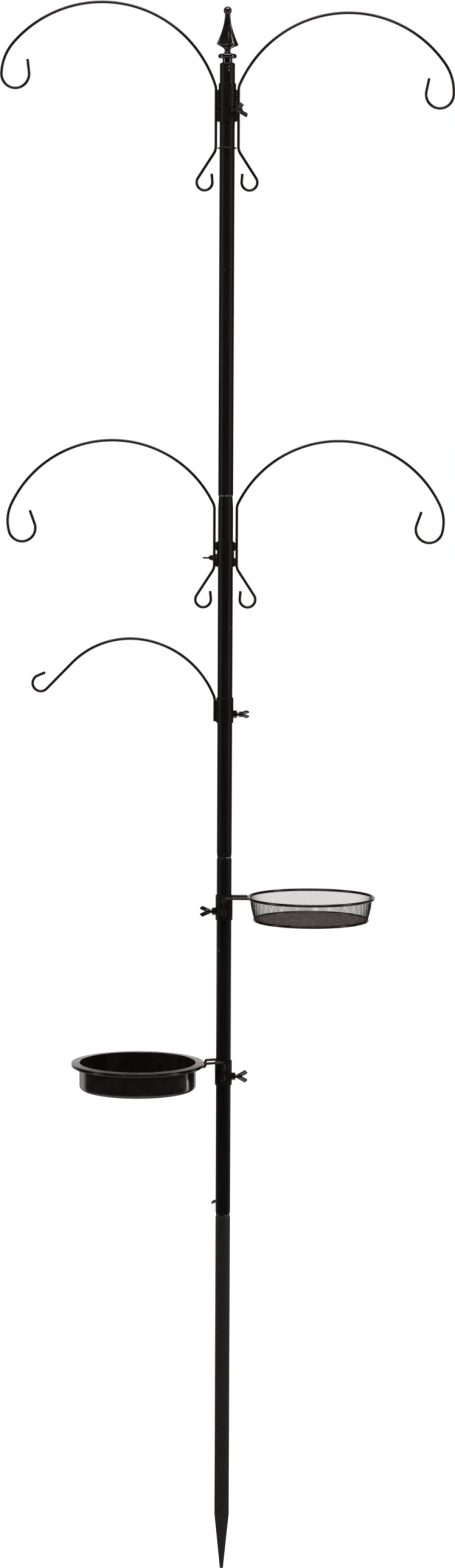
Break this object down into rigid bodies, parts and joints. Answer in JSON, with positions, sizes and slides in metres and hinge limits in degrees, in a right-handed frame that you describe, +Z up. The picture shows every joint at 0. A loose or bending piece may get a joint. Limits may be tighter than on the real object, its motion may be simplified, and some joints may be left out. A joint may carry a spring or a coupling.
{
  "type": "bird feeder stand",
  "caption": "Tall bird feeder stand: a pointed stake and plug-together pole with a finial, carrying clamp-on scrolled hook arms, a round mesh seed tray and a round water dish.",
  "frame": {"origin": "on the pole's axis at the ground line, 300 mm above the stake's tip", "axes": "+Z up along the pole; +X towards the seed tray and -X towards the water dish at rest; -Y is the front"},
  "size_m": [0.6606, 0.1978, 2.3296],
  "materials": {
    "pole_paint": "gloss black paint",
    "stake_paint": "satin dark grey paint",
    "wire_paint": "satin brown black coating",
    "bracket_paint": "satin black coating",
    "finial_paint": "satin bronze black coating",
    "screw_paint": "satin black coating",
    "mesh_paint": "satin dark grey coating",
    "weld_paint": "painted weld metal",
    "dish_plastic": "gloss black"
  },
  "bodies": {
    "base": {"ground_stake": "stake_paint", "lower_pole": "pole_paint", "stake_lock_nut": "screw_paint"},
    "middle_section": {"middle_pole": "pole_paint"},
    "upper_section": {"upper_pole": "pole_paint", "finial": "finial_paint"},
    "water_dish": {"water_dish": "dish_plastic"},
    "stake_screw": {"stake_wing_screw": "screw_paint"},
    "upper_bracket": {"upper_bracket_sleeve": "bracket_paint", "upper_left_arm": "wire_paint", "upper_right_arm": "wire_paint", "upper_stay_ring": "wire_paint", "upper_lock_nut": "screw_paint", "upper_weld_beads": "weld_paint"},
    "upper_screw": {"upper_wing_screw": "screw_paint"},
    "lower_bracket": {"lower_bracket_sleeve": "bracket_paint", "lower_left_arm": "wire_paint", "lower_right_arm": "wire_paint", "lower_lock_nut": "screw_paint", "lower_weld_beads": "weld_paint"},
    "lower_screw": {"lower_wing_screw": "screw_paint"},
    "single_bracket": {"single_bracket_sleeve": "bracket_paint", "single_arm": "wire_paint", "single_lock_nut": "screw_paint", "single_weld_beads": "weld_paint"},
    "single_screw": {"single_wing_screw": "screw_paint"},
    "tray_bracket": {"tray_bracket_sleeve": "bracket_paint", "tray_front_rod": "wire_paint", "tray_rear_rod": "wire_paint", "tray_rim_ring": "wire_paint", "tray_base_ring": "wire_paint", "tray_mesh_wall": "mesh_paint", "tray_mesh_floor": "mesh_paint", "tray_lock_nut": "screw_paint", "tray_weld_beads": "weld_paint"},
    "tray_screw": {"tray_wing_screw": "screw_paint"},
    "dish_bracket": {"dish_bracket_sleeve": "bracket_paint", "dish_front_rod": "wire_paint", "dish_rear_rod": "wire_paint", "dish_holder_ring": "wire_paint", "dish_lock_nut": "screw_paint", "dish_weld_beads": "weld_paint"},
    "dish_screw": {"dish_wing_screw": "screw_paint"}
  },
  "joints": [
    {"name": "middle_section_pull", "type": "slide", "parent": "base", "child": "middle_section", "axis": [0, 0, 1], "range_m": [0, 0.052]},
    {"name": "upper_section_pull", "type": "slide", "parent": "middle_section", "child": "upper_section", "axis": [0, 0, 1], "range_m": [0, 0.052]},
    {"name": "upper_bracket_swivel", "type": "hinge", "parent": "upper_section", "child": "upper_bracket", "pos_m": [0, 0, 1.8845], "axis": [0, 0, 1], "continuous": true},
    {"name": "lower_bracket_swivel", "type": "hinge", "parent": "middle_section", "child": "lower_bracket", "pos_m": [0, 0, 1.2305], "axis": [0, 0, 1], "continuous": true},
    {"name": "single_bracket_swivel", "type": "hinge", "parent": "middle_section", "child": "single_bracket", "pos_m": [0, 0, 1.0005], "axis": [0, 0, 1], "continuous": true},
    {"name": "tray_bracket_swivel", "type": "hinge", "parent": "base", "child": "tray_bracket", "pos_m": [0, 0, 0.707], "axis": [0, 0, 1], "continuous": true},
    {"name": "dish_bracket_swivel", "type": "hinge", "parent": "base", "child": "dish_bracket", "pos_m": [0, 0, 0.459], "axis": [0, 0, 1], "continuous": true},
    {"name": "water_dish_lift", "type": "slide", "parent": "dish_bracket", "child": "water_dish", "axis": [0, 0, 1], "range_m": [0, 0.06]},
    {"name": "stake_screw_turn", "type": "hinge", "parent": "base", "child": "stake_screw", "pos_m": [-0.00285, 0.01063, 0.2612], "axis": [-0.2588, 0.9659, 0], "range_deg": [0, 720]},
    {"name": "upper_screw_turn", "type": "hinge", "parent": "upper_bracket", "child": "upper_screw", "pos_m": [0.00929, -0.00866, 1.8727], "axis": [0.7314, -0.682, 0], "range_deg": [0, 720]},
    {"name": "lower_screw_turn", "type": "hinge", "parent": "lower_bracket", "child": "lower_screw", "pos_m": [-0.0104, 0.00728, 1.2245], "axis": [-0.8192, 0.5736, 0], "range_deg": [0, 720]},
    {"name": "single_screw_turn", "type": "hinge", "parent": "single_bracket", "child": "single_screw", "pos_m": [0.0127, 0, 0.9945], "axis": [1, 0, 0], "range_deg": [0, 720]},
    {"name": "tray_screw_turn", "type": "hinge", "parent": "tray_bracket", "child": "tray_screw", "pos_m": [-0.0127, 0, 0.701], "axis": [-1, 0, 0], "range_deg": [0, 720]},
    {"name": "dish_screw_turn", "type": "hinge", "parent": "dish_bracket", "child": "dish_screw", "pos_m": [0.0127, 0, 0.453], "axis": [1, 0, 0], "range_deg": [0, 720]}
  ]
}
